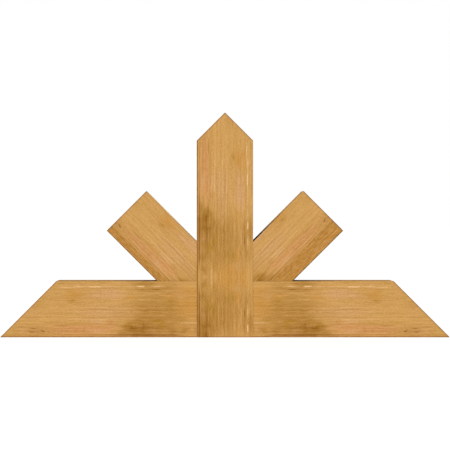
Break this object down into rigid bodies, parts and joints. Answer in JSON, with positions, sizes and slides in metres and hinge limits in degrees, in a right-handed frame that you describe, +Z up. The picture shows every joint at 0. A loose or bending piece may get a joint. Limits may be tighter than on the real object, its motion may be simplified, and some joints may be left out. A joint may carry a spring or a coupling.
{
  "type": "decorative gable truss",
  "caption": "Flat timber gable truss: pointed king post, tie beam with mitred tips and short struts square to the roof slopes, butted together on glued blind dowels.",
  "frame": {"origin": "under the king post, at the middle of the bottom edge and halfway through the depth", "axes": "+X along the span to the viewer's right, +Y from the front face to the back face, +Z up to the peak"},
  "size_m": [1.2192, 0.0508, 0.6096],
  "materials": {
    "post_timber": "satin",
    "tie_timber": "satin",
    "strut_timber": "satin",
    "dowel_wood": "matte"
  },
  "bodies": {
    "root": {"king_post": "post_timber", "left_tie_beam": "tie_timber", "right_tie_beam": "tie_timber", "left_strut": "strut_timber", "right_strut": "strut_timber", "left_tie_to_post_dowel_1": "dowel_wood", "left_tie_to_post_dowel_2": "dowel_wood", "left_strut_to_post_dowel_1": "dowel_wood", "left_strut_to_post_dowel_2": "dowel_wood", "left_strut_to_tie_dowel_1": "dowel_wood", "left_strut_to_tie_dowel_2": "dowel_wood", "right_tie_to_post_dowel_1": "dowel_wood", "right_tie_to_post_dowel_2": "dowel_wood", "right_strut_to_post_dowel_1": "dowel_wood", "right_strut_to_post_dowel_2": "dowel_wood", "right_strut_to_tie_dowel_1": "dowel_wood", "right_strut_to_tie_dowel_2": "dowel_wood"}
  },
  "joints": []
}
